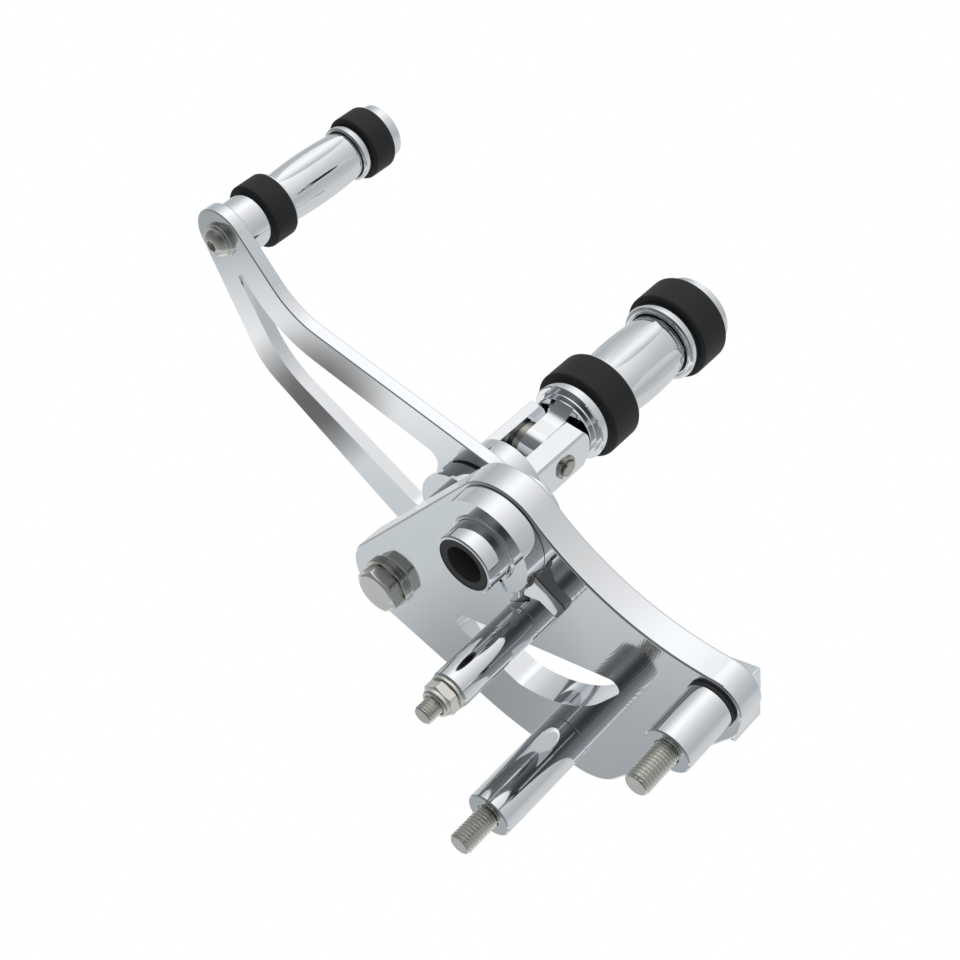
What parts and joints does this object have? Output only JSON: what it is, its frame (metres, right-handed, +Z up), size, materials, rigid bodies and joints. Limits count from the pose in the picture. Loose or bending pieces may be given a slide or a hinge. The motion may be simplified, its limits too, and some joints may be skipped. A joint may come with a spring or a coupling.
{
  "type": "motorcycle forward controls",
  "caption": "Right-hand forward control: mounting plate with studs and spacers, folding footpeg, slotted toe lever with peg, and a relay arm clamped on a pivot sleeve.",
  "frame": {"origin": "relay pivot axis at the inboard face of the plate", "axes": "+X forward towards the toe peg, +Y inboard along the pivot axis, +Z up"},
  "size_m": [0.3325, 0.2795, 0.1559],
  "materials": {
    "chrome": "bright chrome plating on aluminium",
    "stainless": "turned stainless steel",
    "rubber": "smooth matt black rubber",
    "black_plastic": "turned black plastic",
    "bronze": "plain bearing bronze",
    "dark_steel": "oiled spring steel"
  },
  "bodies": {
    "plate_group": {"main_plate": "chrome", "peg_clevis": "chrome", "lower_spacer": "chrome", "upper_spacer": "chrome", "pivot_boss": "chrome", "rear_block": "chrome", "lower_mount_bolt": "stainless", "upper_mount_bolt": "stainless", "peg_bolt": "stainless", "peg_bolt_washer": "stainless", "upper_washer": "black_plastic", "thrust_washer": "black_plastic", "clevis_pin": "dark_steel", "clevis_pin_clip": "dark_steel", "clevis_spring_washer": "dark_steel"},
    "lever_group": {"toe_lever": "chrome", "toe_lever_bush": "bronze", "toe_peg_bolt": "stainless", "toe_peg_washer": "stainless", "toe_peg_core": "chrome", "toe_peg_inner_ring": "rubber", "toe_peg_outer_ring": "rubber", "toe_peg_cap": "chrome"},
    "foot_peg": {"foot_peg_core": "chrome", "foot_peg_inner_ring": "rubber", "foot_peg_outer_ring": "rubber", "foot_peg_cap": "chrome"},
    "relay_group": {"pivot_sleeve": "chrome", "pivot_bush": "black_plastic", "sleeve_washer": "stainless", "sleeve_retaining_ring": "dark_steel", "relay_arm": "chrome", "relay_pinch_screw": "dark_steel", "link_stud": "stainless", "link_sleeve": "chrome", "link_washer": "stainless", "link_nut": "stainless"}
  },
  "joints": [
    {"name": "lever_pivot", "type": "hinge", "parent": "plate_group", "child": "lever_group", "pos_m": [0.0592, -0.0599, -0.0788], "axis": [0, 1, 0], "range_deg": [-8, 12]},
    {"name": "peg_fold", "type": "hinge", "parent": "plate_group", "child": "foot_peg", "pos_m": [0.0592, -0.09645, -0.0788], "axis": [-1, 0, 0], "range_deg": [0, 85]},
    {"name": "relay_pivot", "type": "hinge", "parent": "plate_group", "child": "relay_group", "pos_m": [0, 0, 0], "axis": [0, 1, 0], "range_deg": [-15, 15]}
  ]
}
